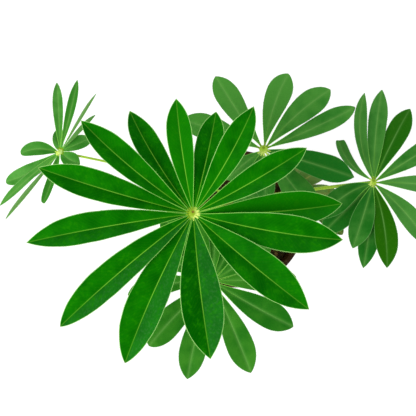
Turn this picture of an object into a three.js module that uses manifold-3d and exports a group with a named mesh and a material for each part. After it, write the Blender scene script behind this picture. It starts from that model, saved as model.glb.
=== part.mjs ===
// A young lupin in its nursery pot, in millimetres, +Z up.
// The origin is the middle of the pot's flat base. A short crown stands in a plain hole in the
// soil, and six palmate leaves grow from it, each a petiole, a hub and a wheel of leaflets.
import * as THREE from 'three';
import { mergeVertices } from 'three/addons/utils/BufferGeometryUtils.js';
import Module from 'manifold-3d';

const wasm = await Module();
wasm.setup();

// ---- driving dimensions -------------------------------------------------------------------

const CLEARANCE = 0.3; // gap between pieces that touch
const UP = new THREE.Vector3(0, 0, 1);

const POT = {
  height: 110,
  rimRadius: 60, // outside of the rim band
  neckRadius: 57.4, // outside of the wall under the rim band
  baseRadius: 43,
  bandDepth: 12,
  wall: 1.6,
  floor: 2.4,
  footChamfer: 2,
  sides: 40,
  drainHoles: 6,
  drainRadius: 4.5,
  drainCircle: 28,
};

const SOIL = {
  level: 97,
  lump: 1.6, // height of the crumbs above and below the level
  crownMound: 4, // the soil is drawn up round the crown
  rings: 8,
  spokes: 40, // in line with the pot's sides
};

const CROWN = {
  x: 9,
  y: 15,
  foot: 62, // lowest point, in the soil
  top: 127,
  radius: 5,
  neckRadius: 3.4,
  budHeight: 12,
  sides: 14,
};

const HUB = { radius: 3.6, height: 2.2, across: 12, down: 6 };
const BLADE = { thickness: 0.6, stalkHalfWidth: 0.6, inHub: 2.4, shoulder: 2.2, tipCrowding: 1.3 };
const PETIOLE = { steps: 10, sides: 6 };

// Each leaf: hub is the centre of its wheel, petiole holds the two inner control points of the
// curve from the crown to the hub, seat is the height on the crown where it starts.
// fold is the angle of each half blade above the flat, widest is where along a leaflet it is
// broadest, slim is 1 for a foot that widens at once and more for a slimmer one, point is small
// for a round tip and large for a sharp one, arch is the rise of a leaflet's middle above the
// line from hub to tip.
// Leaflets: turn from +X in degrees, reach, lift of the tip above the hub, width,
// bow of the midrib to the left, roll about the midrib in degrees, and changes to the leaf's own
// fold, widest, slim or point where a leaflet differs.
const LEAVES = [
  {
    name: 'leaf_main',
    hub: [-33, -22, 260],
    seat: 121,
    petiole: [[-4, 6, 165], [-22, -13, 225]],
    petioleRadius: 1.5,
    fold: 22, widest: 0.64, slim: 1.1, point: 1, arch: 5, stations: 12,
    leaflets: [
      [98.5, 74.5, -2, 17, 1, -6],
      [78, 68, -6, 18, -1, -3],
      [60.5, 75, 7, 18.5, -2.5, -10],
      [30.5, 81, 0, 18.5, -2, -5],
      [5, 93, -10, 23, -3, -6],
      [-10.5, 90, 5, 23.5, -3, 4],
      [-40.5, 87.5, 10, 24, -1.5, -6],
      [-83, 85.5, 2, 26, -1, 0],
      [-114, 95.5, 0, 25, -1.5, 13, { point: 0.85 }],
      [-139, 101.5, 2, 21, -1, 12, { slim: 0.9, point: 0.8 }],
      [-170, 101, 0, 21, -0.5, 12],
      [163.5, 98, 3, 20.5, 2, 9],
      [140.5, 88, 8, 19, 3, 14],
      [121, 79.5, -9, 17.5, 2.5, 11, { slim: 1 }],
    ],
  },
  {
    name: 'leaf_upper',
    hub: [16, 35, 200],
    seat: 116,
    petiole: [[11, 24, 135], [15, 34, 165]],
    petioleRadius: 1.3,
    fold: 8, widest: 0.71, slim: 1.3, point: 0.8, arch: 4, stations: 10,
    leaflets: [
      [123, 63.5, 6, 18, 1.5, 0],
      [71.5, 57.5, 8, 18.5, 2.5, 0],
      [41.5, 65, 6, 19, 2, 0],
      [25, 74, 2, 14.5, -2, 0],
      [-19, 67, 5, 19.5, -0.5, 0, { slim: 1, point: 1 }],
      [-51.5, 60, -8, 21.5, -0.5, 0],
      [-88, 38, -6, 14, 0, 0],
      [-112, 46.5, -16, 18, 0, 0],
      [-142, 34, -6, 13, 0, 0],
      [160, 63, 2, 19, 0, 0],
    ],
  },
  {
    name: 'leaf_right',
    hub: [97, 13, 190],
    seat: 112,
    petiole: [[36, 17, 130], [78, 16, 165]],
    petioleRadius: 1.4,
    fold: 12, widest: 0.66, slim: 1.15, point: 0.95, arch: 4, stations: 9,
    leaflets: [
      [95.5, 65, 11, 11, 7.5, 0, { fold: 30, slim: 0.9 }],
      [83, 70, 5, 14, 2.5, 0, { slim: 0.9 }],
      [61.5, 64.5, -1, 16.5, 1.5, 0],
      [31.5, 61, 4, 14.5, 0, 0],
      [-7, 59.5, 4, 14, 1, 0],
      [-52, 60.5, 2, 16, 1.5, 0],
      [-84, 63, 0, 17, 1.5, 0],
      [-98, 63, -6, 15, 0, 0],
      [-110, 52, 2, 17, -0.5, 0],
      [-135, 47.5, -13, 19, 0, 0, { point: 0.4 }],
      [-145, 46, -6, 17, -4, 0],
      [126.5, 39.5, 0, 9, 6, 0, { fold: 25, widest: 0.8, point: 0.2 }],
    ],
  },
  {
    name: 'leaf_lower',
    hub: [-21, -59, 185],
    seat: 109,
    petiole: [[2, -10, 130], [-19, -50, 160]],
    petioleRadius: 1.3,
    fold: 10, widest: 0.71, slim: 1.2, point: 0.85, arch: 4, stations: 9,
    leaflets: [
      [-29, 65.5, 2, 20, -1, 0],
      [-67, 68.5, 4, 19.5, 0.5, 0],
      [-104.5, 70, -1, 19, -1.5, 0],
      [-134.5, 62.5, 9, 19.5, -1.5, 0, { point: 0.65 }],
      [-171, 61, 2, 15, -3, 0],
      [159, 59, 2, 15, -3, 0],
      [127, 62, -6, 18, 0, 0],
      [106, 60, 3, 15, 0, 0],
      [86, 56, -1, 14, 0, 0],
      [62, 46, -6, 13, 0, 0],
      [32, 50, 3, 16, 0, 0],
      [3, 61, -2, 18, -0.5, 0],
    ],
  },
  {
    name: 'leaf_left',
    hub: [-144, 47, 150],
    seat: 107,
    petiole: [[-40, 26, 150], [-120, 42, 150]],
    petioleRadius: 1,
    fold: 20, widest: 0.65, slim: 1.1, point: 0.85, arch: 3, stations: 8,
    leaflets: [
      [98, 23, -8, 10, 0, 0, { widest: 0.45, slim: 0.8 }],
      [94, 58, 4, 9, -1, 0],
      [78, 61.5, 4, 8, -1.5, 0],
      [57, 55, 10, 6.5, -1.5, 0, { fold: 64 }],
      [48.5, 42, 0, 8, -1.5, 0, { fold: 60 }],
      [31, 27, -8, 13, -1, 0],
      [-30, 19, -2, 13.5, -1.5, 0],
      [-107, 43.5, -4, 8.5, 2, 0, { fold: 35, slim: 0.8, point: 0.4 }],
      [-124.5, 68.5, 6, 8, 2, 0, { fold: 62 }],
      [-136, 64, 0, 7, 0, 0, { slim: 0.7 }],
      [-152.5, 50.5, -7, 14, 4, 0, { point: 0.6 }],
      [184, 31, 2, 12.5, -2.5, 0, { widest: 0.54, point: 0.55 }],
    ],
  },
  {
    name: 'leaf_old',
    hub: [40, 18, 128],
    seat: 103,
    petiole: [[20, 17, 117], [34, 18, 119]],
    petioleRadius: 1.3,
    fold: 10, widest: 0.7, slim: 1.1, point: 0.7, arch: 4, stations: 8,
    leaflets: [
      [60, 27, -4, 14, 0, 0],
      [31, 40, 5, 17, 0, 0],
      [-2, 46, -3, 15, 0, 0],
      [-38, 59, 4, 15, 4, 0],
      [-70, 48, -5, 15, 0, 0],
      [-106, 40, -2, 14, 0, 0],
    ],
  },
];

const LOOKS = {
  pot: { color: 0x2a1a0c, roughness: 0.55, metalness: 0 },
  soil: { color: 0x24190d, roughness: 1, metalness: 0 },
  crown: { color: 0x9bb84a, roughness: 0.7, metalness: 0 },
  leaf_main: { color: 0x1d7d08, roughness: 0.6, metalness: 0 },
  leaf_upper: { color: 0x3f8536, roughness: 0.65, metalness: 0 },
  leaf_right: { color: 0x3c8134, roughness: 0.65, metalness: 0 },
  leaf_lower: { color: 0x377f22, roughness: 0.65, metalness: 0 },
  leaf_left: { color: 0x4b9a36, roughness: 0.65, metalness: 0 },
  leaf_old: { color: 0x77803c, roughness: 0.75, metalness: 0 },
};

// ---- helpers --------------------------------------------------------------------------------

const radians = THREE.MathUtils.degToRad;

function toSolid(geometry) {
  const bare = new THREE.BufferGeometry();
  bare.setAttribute('position', geometry.getAttribute('position').clone());
  if (geometry.index) bare.setIndex(geometry.index.clone());
  const merged = mergeVertices(bare, 1e-4);
  return new wasm.Manifold(new wasm.Mesh({
    numProp: 3,
    vertProperties: new Float32Array(merged.getAttribute('position').array),
    triVerts: new Uint32Array(merged.index.array),
  }));
}

function toGeometry(solid) {
  const mesh = solid.getMesh();
  const geometry = new THREE.BufferGeometry();
  geometry.setAttribute('position', new THREE.BufferAttribute(mesh.vertProperties, 3));
  geometry.setIndex(new THREE.BufferAttribute(mesh.triVerts, 1));
  geometry.computeVertexNormals();
  return geometry;
}

function join(solids) {
  return solids.reduce((whole, next) => whole.add(next));
}

function piece(name, solid) {
  const mesh = new THREE.Mesh(toGeometry(solid), new THREE.MeshStandardMaterial(LOOKS[name]));
  mesh.name = name;
  return mesh;
}

// A closed surface of revolution about +Z through x, y; the profile is [radius, height] pairs.
function turned(profile, sides, x = 0, y = 0) {
  const points = profile.map(([radius, height]) => new THREE.Vector2(radius, height));
  const geometry = new THREE.LatheGeometry(points, sides);
  geometry.rotateX(Math.PI / 2);
  geometry.translate(x, y, 0);
  const solid = toSolid(geometry);
  return solid.volume() > 0 ? solid : toSolid(flipped(geometry));
}

function flipped(geometry) {
  const index = geometry.index.array;
  for (let i = 0; i < index.length; i += 3) [index[i], index[i + 1]] = [index[i + 1], index[i]];
  return geometry;
}

// ---- pot --------------------------------------------------------------------------------------

// Radius of the outside of the tapered wall at a height.
function potRadius(height) {
  return THREE.MathUtils.lerp(POT.baseRadius, POT.neckRadius, height / POT.height);
}

function potSolid() {
  const { height, rimRadius, bandDepth, wall, floor, footChamfer, sides } = POT;
  const bandFoot = height - bandDepth;
  const profile = [
    [0, 0],
    [POT.baseRadius - footChamfer, 0],
    [potRadius(footChamfer), footChamfer],
    [potRadius(bandFoot), bandFoot],
    [rimRadius - 0.8, bandFoot + 0.6],
    [rimRadius, bandFoot + 2],
    [rimRadius, height - 1.6],
    [rimRadius - 1, height],
    [potRadius(height) - wall + 1, height],
    [potRadius(height) - wall, height - 1.2],
    [potRadius(floor) - wall, floor],
    [0, floor],
  ];
  let solid = turned(profile, sides);
  for (let i = 0; i < POT.drainHoles; i++) {
    const angle = (i + 0.5) * 2 * Math.PI / POT.drainHoles;
    const drill = [[0, -1], [POT.drainRadius, -1], [POT.drainRadius, floor + 1], [0, floor + 1]];
    const [x, y] = [POT.drainCircle * Math.cos(angle), POT.drainCircle * Math.sin(angle)];
    solid = solid.subtract(turned(drill, 16, x, y));
  }
  return solid;
}

// ---- soil -------------------------------------------------------------------------------------

// Height of the crumbly surface: sums of sines of different lengths, and a mound at the crown.
function soilHeight(x, y) {
  const crumbs = Math.sin(x * 0.47 + 1.3) * Math.cos(y * 0.41 - 0.6)
    + 0.7 * Math.sin(x * 0.83 - y * 0.71 + 2.1) + 0.5 * Math.cos(x * 0.29 + y * 1.07);
  const away = Math.hypot(x - CROWN.x, y - CROWN.y) / 14;
  return SOIL.level + SOIL.lump * crumbs / 2 + SOIL.crownMound * Math.exp(-away * away);
}

// A disc of rings with a crumbly top, a tapered side along the pot's wall and a flat bottom.
function soilSolid() {
  const { rings, spokes } = SOIL;
  const inset = POT.wall + CLEARANCE;
  const bottom = POT.floor + CLEARANCE;
  const topRadius = potRadius(SOIL.level - 2) - inset;
  const positions = [0, 0, soilHeight(0, 0)];
  const ring = (radius, height) => {
    for (let k = 0; k < spokes; k++) {
      const angle = 2 * Math.PI * k / spokes;
      const [x, y] = [radius * Math.cos(angle), radius * Math.sin(angle)];
      positions.push(x, y, height ?? soilHeight(x, y));
    }
  };
  for (let r = 1; r <= rings; r++) ring(topRadius * r / rings);
  ring(potRadius(bottom) - inset, bottom);
  positions.push(0, 0, bottom);

  const index = [];
  const at = (r, k) => 1 + (r - 1) * spokes + (k % spokes);
  const last = 1 + (rings + 1) * spokes;
  for (let k = 0; k < spokes; k++) {
    index.push(0, at(1, k), at(1, k + 1));
    for (let r = 1; r <= rings; r++) {
      index.push(at(r, k), at(r + 1, k), at(r + 1, k + 1), at(r, k), at(r + 1, k + 1), at(r, k + 1));
    }
    index.push(last, at(rings + 1, k + 1), at(rings + 1, k));
  }
  const geometry = new THREE.BufferGeometry();
  geometry.setAttribute('position', new THREE.Float32BufferAttribute(positions, 3));
  geometry.setIndex(index);
  return toSolid(geometry).subtract(crownSolid(CLEARANCE));
}

// ---- crown --------------------------------------------------------------------------------------

// The short stem with a pointed bud of unopened leaves; grow makes it fatter all round.
function crownSolid(grow = 0) {
  const { foot, top, radius, neckRadius, budHeight } = CROWN;
  const profile = [
    [0, foot - grow],
    [radius - 1.5 + grow, foot - grow],
    [radius + grow, foot + 8],
    [radius + grow, SOIL.level + 8],
    [neckRadius + grow, top - 2],
    [neckRadius + 0.5 + grow, top + 2],
    [neckRadius - 1 + grow, top + 0.6 * budHeight],
    [0, top + budHeight + grow],
  ];
  return turned(profile, CROWN.sides, CROWN.x, CROWN.y);
}

// ---- leaves ---------------------------------------------------------------------------------------

// The curve of a petiole from the crown's axis to just under the hub.
function petioleCurve(leaf) {
  const [hubX, hubY, hubZ] = leaf.hub;
  return new THREE.CubicBezierCurve3(
    new THREE.Vector3(CROWN.x, CROWN.y, leaf.seat),
    new THREE.Vector3(...leaf.petiole[0]),
    new THREE.Vector3(...leaf.petiole[1]),
    new THREE.Vector3(hubX, hubY, hubZ - 0.4 * HUB.height),
  );
}

function petioleSolid(leaf) {
  const round = new THREE.Shape().absarc(0, 0, leaf.petioleRadius, 0, 2 * Math.PI, false);
  const geometry = new THREE.ExtrudeGeometry(round, {
    steps: PETIOLE.steps,
    curveSegments: PETIOLE.sides / 2,
    extrudePath: petioleCurve(leaf),
  });
  return toSolid(geometry);
}

function hubSolid(leaf) {
  const geometry = new THREE.SphereGeometry(HUB.radius, HUB.across, HUB.down);
  geometry.rotateX(Math.PI / 2);
  geometry.scale(1, 1, HUB.height / HUB.radius);
  geometry.translate(...leaf.hub);
  return toSolid(geometry);
}

// Half the width of a blade by the share of its reach, from 0 at the hub's centre to 1 at the
// tip. It widens as a quarter of a sine wave, then closes as (1 - q^2.2)^point, and it is never
// thinner than the stalk until near the tip.
function halfWidth(share, { width, widest, slim, point }) {
  const shape = share < widest
    ? Math.sin(Math.PI / 2 * (share / widest) ** slim)
    : (1 - ((share - widest) / (1 - widest)) ** BLADE.shoulder) ** point;
  return Math.max(width / 2 * shape, BLADE.stalkHalfWidth * Math.min(1, 8 * (1 - share)));
}

// One folded blade: three points across on each face at every station, and an edge at the tip.
function leafletSolid(leaf, [turn, reach, lift, width, bow, roll, change = {}]) {
  const shape = { ...leaf, width, ...change };
  const { fold, arch, stations } = shape;
  const midrib = (s) => {
    const belly = 4 * s * (1 - s);
    const along = BLADE.inHub + (reach - BLADE.inHub) * s;
    return new THREE.Vector3(along, bow * belly, lift * s + arch * belly);
  };
  const positions = [];
  for (let i = 0; i <= stations; i++) {
    const s = 1 - (1 - i / stations) ** BLADE.tipCrowding;
    const middle = midrib(s);
    const along = midrib(Math.min(1, s + 0.01)).sub(midrib(Math.max(0, s - 0.01))).normalize();
    const side = new THREE.Vector3().crossVectors(UP, along).normalize();
    side.applyAxisAngle(along, radians(roll));
    const normal = new THREE.Vector3().crossVectors(along, side);
    const half = i === stations ? 0 : halfWidth(middle.x / reach, shape);
    for (const depth of [0, -BLADE.thickness]) {
      for (const edge of half ? [-1, 0, 1] : [0]) {
        const point = middle.clone()
          .addScaledVector(side, edge * half * Math.cos(radians(fold)))
          .addScaledVector(normal, Math.abs(edge) * half * Math.sin(radians(fold)) + depth);
        positions.push(point);
      }
    }
  }

  const index = [];
  const quad = (a, b, c, d) => index.push(a, b, c, a, c, d);
  for (let i = 0; i < stations; i++) {
    const here = 6 * i;
    const next = here + 6;
    const tip = i === stations - 1;
    for (const [a, b] of [[0, 1], [1, 2]]) {
      if (tip) {
        index.push(here + a, next, here + b, here + a + 3, here + b + 3, next + 1);
      } else {
        quad(here + a, next + a, next + b, here + b);
        index.push(here + a + 3, next + b + 3, next + a + 3, here + a + 3, here + b + 3, next + b + 3);
      }
    }
    if (tip) {
      quad(here, here + 3, next + 1, next);
      quad(here + 2, next, next + 1, here + 5);
    } else {
      quad(here, here + 3, next + 3, next);
      quad(here + 2, next + 2, next + 5, here + 5);
    }
  }
  quad(0, 1, 4, 3);
  quad(1, 2, 5, 4);

  const geometry = new THREE.BufferGeometry().setFromPoints(positions);
  geometry.setIndex(index);
  geometry.rotateZ(radians(turn));
  geometry.translate(...leaf.hub);
  return toSolid(geometry);
}

function leafSolid(leaf) {
  const blades = leaf.leaflets.map((leaflet) => leafletSolid(leaf, leaflet));
  const whole = join([hubSolid(leaf), petioleSolid(leaf), ...blades]);
  return whole.subtract(crownSolid(CLEARANCE));
}

// ---- the plant in its pot -----------------------------------------------------------------------

const plant = new THREE.Group();
for (const leaf of LEAVES) plant.add(piece(leaf.name, leafSolid(leaf)));
plant.add(piece('crown', crownSolid()));

const group = new THREE.Group();
group.add(piece('pot', potSolid()), piece('soil', soilSolid()), plant);

export default group;
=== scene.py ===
"""A young lupin in a round nursery pot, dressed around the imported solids.

Tables and formulas are in millimetres, and each mesh is brought to metres as it is made. The
leaf tables repeat those of the part's source, so every fine leaf lies where its solid does, and
add a tone to each leaflet.
"""

import math

import bmesh
import bpy
import numpy as np
from bpy.props import FloatProperty, FloatVectorProperty, IntProperty, PointerProperty
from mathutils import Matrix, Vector


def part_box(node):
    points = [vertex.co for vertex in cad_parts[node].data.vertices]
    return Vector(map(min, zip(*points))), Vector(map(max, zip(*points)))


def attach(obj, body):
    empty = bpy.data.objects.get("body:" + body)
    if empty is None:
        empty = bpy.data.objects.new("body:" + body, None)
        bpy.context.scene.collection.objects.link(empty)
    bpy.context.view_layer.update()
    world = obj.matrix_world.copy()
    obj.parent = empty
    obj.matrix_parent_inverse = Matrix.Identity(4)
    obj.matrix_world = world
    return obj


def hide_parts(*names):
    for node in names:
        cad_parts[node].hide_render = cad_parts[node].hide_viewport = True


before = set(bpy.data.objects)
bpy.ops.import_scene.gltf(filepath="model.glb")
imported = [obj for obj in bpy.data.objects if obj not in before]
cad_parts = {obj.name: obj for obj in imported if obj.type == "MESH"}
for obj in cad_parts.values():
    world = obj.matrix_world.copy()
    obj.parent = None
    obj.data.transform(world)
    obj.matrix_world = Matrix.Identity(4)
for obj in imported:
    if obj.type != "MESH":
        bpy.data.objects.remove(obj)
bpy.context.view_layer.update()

bl_info = {
    "name": "Potted Lupin",
    "version": (1, 0, 0),
    "blender": (4, 5, 0),
    "location": "3D View > Sidebar > Lupin",
    "description": "Builds a young lupin with palmate leaves in a round nursery pot",
    "category": "Object",
}

MM = 0.001
UP = np.array([0.0, 0.0, 1.0])
TURN = 2 * math.pi

# ---- sizes shared with the solids, in millimetres --------------------------------------------

RIM_RADIUS, _, POT_HEIGHT = (float(side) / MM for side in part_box("pot")[1])
NECK_RADIUS, BASE_RADIUS, BAND_DEPTH, WALL, FLOOR_DEPTH = 57.4, 43.0, 12.0, 1.6, 2.4
DRAIN_HOLES, DRAIN_RADIUS, DRAIN_CIRCLE = 6, 4.5, 28.0
SOIL_LEVEL, SOIL_LUMP, CROWN_MOUND, MOUND_RADIUS = 97.0, 1.6, 4.0, 14.0
CROWN_X, CROWN_Y, CROWN_FOOT, CROWN_TOP = 9.0, 15.0, 62.0, 127.0
CROWN_RADIUS, CROWN_NECK, BUD_HEIGHT = 5.0, 3.4, 12.0
CROWN_AXIS = np.array([CROWN_X, CROWN_Y, 0.0])
HUB_RADIUS, HUB_HEIGHT = 3.6, 2.2
IN_HUB, STALK_HALF, SHOULDER = 2.4, 0.6, 2.2
CLEARANCE = 0.3

# Each leaf: its hub, the height on the crown where its stalk starts, the stalk's two inner control
# points and radius, the size of the knob on the hub and the turn of the painted highlight on the
# knob and the leaflets' feet. For its leaflets: fold, broadest place, how slim the foot is, how
# sharp the point is, arch, and how many rings of points a blade has. Each leaflet: turn from +X,
# reach, lift of the tip, width, bow of the midrib to the left, roll, tone, and changes to the
# leaf's own values where the leaflet differs.
# Turns, fold and roll are in degrees. The tone goes from -1, deep, to 1, pale. Past 1 it turns to
# the colour of the under face, and below -1.1 to a dusky green.
LEAVES = {
    "leaf_main": dict(
        hub=(-33, -22, 260), seat=121, stalk=((-4, 6, 165), (-22, -13, 225)), stalk_radius=1.5,
        knob=1.05, glow=-20, fold=22, widest=0.64, slim=1.1, point=1, arch=5, stations=64,
        leaflets=[
            (98.5, 74.5, -2, 17, 1, -6, 0.6), (78, 68, -6, 18, -1, -3, -0.1),
            (60.5, 75, 7, 18.5, -2.5, -10, 0.2), (30.5, 81, 0, 18.5, -2, -5, 0.2),
            (5, 93, -10, 23, -3, -6, 0.6), (-10.5, 90, 5, 23.5, -3, 4, 0),
            (-40.5, 87.5, 10, 24, -1.5, -6, 0), (-83, 85.5, 2, 26, -1, 0, -0.3),
            (-114, 95.5, 0, 25, -1.5, 13, 0.1, {"point": 0.85}),
            (-139, 101.5, 2, 21, -1, 12, 0, {"slim": 0.9, "point": 0.8}),
            (-170, 101, 0, 21, -0.5, 12, 0.1), (163.5, 98, 3, 20.5, 2, 9, 0.1),
            (140.5, 88, 8, 19, 3, 14, 0.2), (121, 79.5, -9, 17.5, 2.5, 11, -0.1, {"slim": 1}),
        ],
    ),
    "leaf_upper": dict(
        hub=(16, 35, 200), seat=116, stalk=((11, 24, 135), (15, 34, 165)), stalk_radius=1.3,
        knob=1.3, glow=-90, fold=8, widest=0.71, slim=1.3, point=0.8, arch=4, stations=44,
        leaflets=[
            (123, 63.5, 6, 18, 1.5, 0, 0.7), (71.5, 57.5, 8, 18.5, 2.5, 0, 0.9),
            (41.5, 65, 6, 19, 2, 0, 0.3), (25, 74, 2, 14.5, -2, 0, 0.3),
            (-19, 67, 5, 19.5, -0.5, 0, -1, {"slim": 1, "point": 1}),
            (-51.5, 60, -8, 21.5, -0.5, 0, 0.1), (-88, 38, -6, 14, 0, 0, 0),
            (-112, 46.5, -16, 18, 0, 0, 0), (-142, 34, -6, 13, 0, 0, 0.3),
            (160, 63, 2, 19, 0, 0, 0.5),
        ],
    ),
    "leaf_right": dict(
        hub=(97, 13, 190), seat=112, stalk=((36, 17, 130), (78, 16, 165)), stalk_radius=1.4,
        knob=1, glow=180, fold=12, widest=0.66, slim=1.15, point=0.95, arch=4, stations=44,
        leaflets=[
            (95.5, 65, 11, 11, 7.5, 0, 0.4, {"fold": 30, "slim": 0.9}),
            (83, 70, 5, 14, 2.5, 0, 0.3, {"slim": 0.9}), (61.5, 64.5, -1, 16.5, 1.5, 0, -1.5),
            (31.5, 61, 4, 14.5, 0, 0, 0), (-7, 59.5, 4, 14, 1, 0, 1.3),
            (-52, 60.5, 2, 16, 1.5, 0, 0.4), (-84, 63, 0, 17, 1.5, 0, -1.7),
            (-98, 63, -6, 15, 0, 0, -0.5), (-110, 52, 2, 17, -0.5, 0, -0.2),
            (-135, 47.5, -13, 19, 0, 0, -1, {"point": 0.4}), (-145, 46, -6, 17, -4, 0, -0.4),
            (126.5, 39.5, 0, 9, 6, 0, 0.7, {"fold": 25, "widest": 0.8, "point": 0.2}),
        ],
    ),
    "leaf_lower": dict(
        hub=(-21, -59, 185), seat=109, stalk=((2, -10, 130), (-19, -50, 160)), stalk_radius=1.3,
        knob=1, glow=90, fold=10, widest=0.71, slim=1.2, point=0.85, arch=4, stations=44,
        leaflets=[
            (-29, 65.5, 2, 20, -1, 0, -0.4), (-67, 68.5, 4, 19.5, 0.5, 0, 0),
            (-104.5, 70, -1, 19, -1.5, 0, 0.1),
            (-134.5, 62.5, 9, 19.5, -1.5, 0, -0.1, {"point": 0.65}), (-171, 61, 2, 15, -3, 0, 0),
            (159, 59, 2, 15, -3, 0, 0), (127, 62, -6, 18, 0, 0, -0.2), (106, 60, 3, 15, 0, 0, 0),
            (86, 56, -1, 14, 0, 0, 0.2), (62, 46, -6, 13, 0, 0, -0.2), (32, 50, 3, 16, 0, 0, 0.1),
            (3, 61, -2, 18, -0.5, 0, 0.3),
        ],
    ),
    "leaf_left": dict(
        hub=(-144, 47, 150), seat=107, stalk=((-40, 26, 150), (-120, 42, 150)), stalk_radius=1.0,
        knob=0.9, glow=-150, fold=20, widest=0.65, slim=1.1, point=0.85, arch=3, stations=44,
        leaflets=[
            (98, 23, -8, 10, 0, 0, 0.3, {"widest": 0.45, "slim": 0.8}), (94, 58, 4, 9, -1, 0, -0.1),
            (78, 61.5, 4, 8, -1.5, 0, -0.6), (57, 55, 10, 6.5, -1.5, 0, 3, {"fold": 64}),
            (48.5, 42, 0, 8, -1.5, 0, 2, {"fold": 60}), (31, 27, -8, 13, -1, 0, 0),
            (-30, 19, -2, 13.5, -1.5, 0, -0.2),
            (-107, 43.5, -4, 8.5, 2, 0, -0.7, {"fold": 35, "slim": 0.8, "point": 0.4}),
            (-124.5, 68.5, 6, 8, 2, 0, 2.5, {"fold": 62}),
            (-136, 64, 0, 7, 0, 0, 0.1, {"slim": 0.7}),
            (-152.5, 50.5, -7, 14, 4, 0, 0.1, {"point": 0.6}),
            (184, 31, 2, 12.5, -2.5, 0, -0.3, {"widest": 0.54, "point": 0.55}),
        ],
    ),
    "leaf_old": dict(
        hub=(40, 18, 128), seat=103, stalk=((20, 17, 117), (34, 18, 119)), stalk_radius=1.3,
        knob=0.8, glow=0, fold=10, widest=0.7, slim=1.1, point=0.7, arch=4, stations=44,
        leaflets=[
            (60, 27, -4, 14, 0, 0, 0.2), (31, 40, 5, 17, 0, 0, 0), (-2, 46, -3, 15, 0, 0, 0.5),
            (-38, 59, 4, 15, 4, 0, -0.3), (-70, 48, -5, 15, 0, 0, 0.1),
            (-106, 40, -2, 14, 0, 0, 0.3),
        ],
    ),
}

LEAFLET_ROW = ("turn", "reach", "lift", "width", "bow", "roll", "tone")

# Where the points of a leaflet lie from its midrib to its margin, as shares of the half width, and
# sizes that only the fine leaves have.
HALF_ACROSS = np.array([0.0, 0.035, 0.08, 0.15, 0.26, 0.4, 0.55, 0.7, 0.83, 0.92, 0.975, 1.0])
BLADE_THICKNESS, BLADE_BILLOW, GROOVE_DEPTH, KEEL_DEPTH = 0.36, 0.12, 0.2, 0.5
WAVE_SHARE, WAVE_LENGTHS = 0.016, (2.9, 1.7)
FOOT_SHARE = -0.02  # a blade starts this share of its length further in than its solid
DOWN_GAP, DOWN_RADIUS, DOWN_LENGTHS = 0.7, 0.045, (0.4, 0.8)  # the hairs on the margins
CLASP_RADIUS, CLASP_LENGTH = 2.7, 8.0
KNOB_SHARE, BUMP_SHARE, DIMPLE_WIDTH, DIMPLE_DEPTH = 0.68, 0.24, 0.9, 0.6
PULVINUS_SPAN, PULVINUS_RADIUS = (1.3, 4.3), 0.7

# The level direction that the light comes from and how much a half blade's lean to it counts in the
# painted light and shade of its tone, the same for the direction that gives a half blade its painted
# cool sheen, a painted reflection, and how far from the midrib the two halves blend.
LIGHT_FROM, PAINTED_LIGHT_BY_LEAN = (-0.78, -0.62), 0.3
SHEEN_FROM, SHEEN_BY_LEAN = (-0.9, 0.45), 2.6
HALF_BLEND = 1.2


# ---- meshes -----------------------------------------------------------------------------------


class Patchwork:
    """Collects closed surfaces, with the numbers that their finish reads, into one piece."""

    def __init__(self):
        self.points, self.faces, self.marks, self.count = [], [], {}, 0

    def add(self, points, faces, **marks):
        """A list of points with arrays of faces on them. A mark is an array of [x, y, z]."""
        self.points.append(points)
        for part in faces:
            self.faces += (part + self.count).tolist()
        for name, values in marks.items():
            self.marks.setdefault(name, []).append(values)
        self.count += len(points)

    def sheet(self, rings):
        """An open sheet over rings of points, an (n, m, 3) array that closes on itself round m."""
        self.add(rings.reshape(-1, 3), [ring_quads(*rings.shape[:2])])

    def skin(self, rings, **marks):
        """A closed skin over rings of points, an (n, m, 3) array: quads join each ring to the
        next, and a fan from the ring's mean point closes each end. Faces point outwards where
        the rings go round so that step-along times step-round points out. A mark is three
        numbers or arrays that spread over the (n, m) points, and an end gets its ring's mean."""
        n, m = rings.shape[:2]
        ring, last = np.arange(m), (n - 1) * m
        following = np.roll(ring, -1)
        fans = [np.stack([np.full(m, n * m), ring, following], -1),
                np.stack([np.full(m, n * m + 1), last + following, last + ring], -1)]
        for name, values in marks.items():
            spread = [np.broadcast_to(value, (n, m)) for value in values]
            marks[name] = closed_ends(np.stack(spread, -1))
        self.add(closed_ends(rings), [ring_quads(n, m), *fans], **marks)

    def piece(self, name, finish, slot, node):
        """The object: it rides on the one body, and stands for the CAD node."""
        mesh = bpy.data.meshes.new(name)
        mesh.from_pydata(np.concatenate(self.points) * MM, [], self.faces)
        for mark, values in self.marks.items():
            layer = mesh.attributes.new(mark, "FLOAT_VECTOR", "POINT")
            layer.data.foreach_set("vector", np.concatenate(values).astype(np.float32).ravel())
        mesh.validate()
        mesh.polygons.foreach_set("use_smooth", np.ones(len(mesh.polygons), bool))
        mesh.materials.append(finish)
        thing = bpy.data.objects.new(name, mesh)
        bpy.context.scene.collection.objects.link(thing)
        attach(thing, "root")
        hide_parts(node)
        return thing


def ring_quads(n, m):
    """The faces that join n rings of m points, each ring to the next."""
    here = np.arange(n * m).reshape(n, m)
    following = np.roll(here, -1, axis=1)
    return np.stack([here[:-1], here[1:], following[1:], following[:-1]], -1).reshape(-1, 4)


def closed_ends(rings):
    """An (n, m, k) array as a list of points, with the mean of the first and last ring after it."""
    ends = [rings[:1].mean(axis=1), rings[-1:].mean(axis=1)]
    return np.concatenate([rings.reshape(-1, rings.shape[2])] + ends)


def unit(vectors):
    """Vectors made one long."""
    return vectors / np.linalg.norm(vectors, axis=-1, keepdims=True)


def swung(x, y, angle):
    """The point (x, y) turned by an angle: x cos - y sin and x sin + y cos."""
    return x * np.cos(angle) - y * np.sin(angle), x * np.sin(angle) + y * np.cos(angle)


def around(count):
    """That many angles, evenly round a turn."""
    return np.arange(count) * TURN / count


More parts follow.
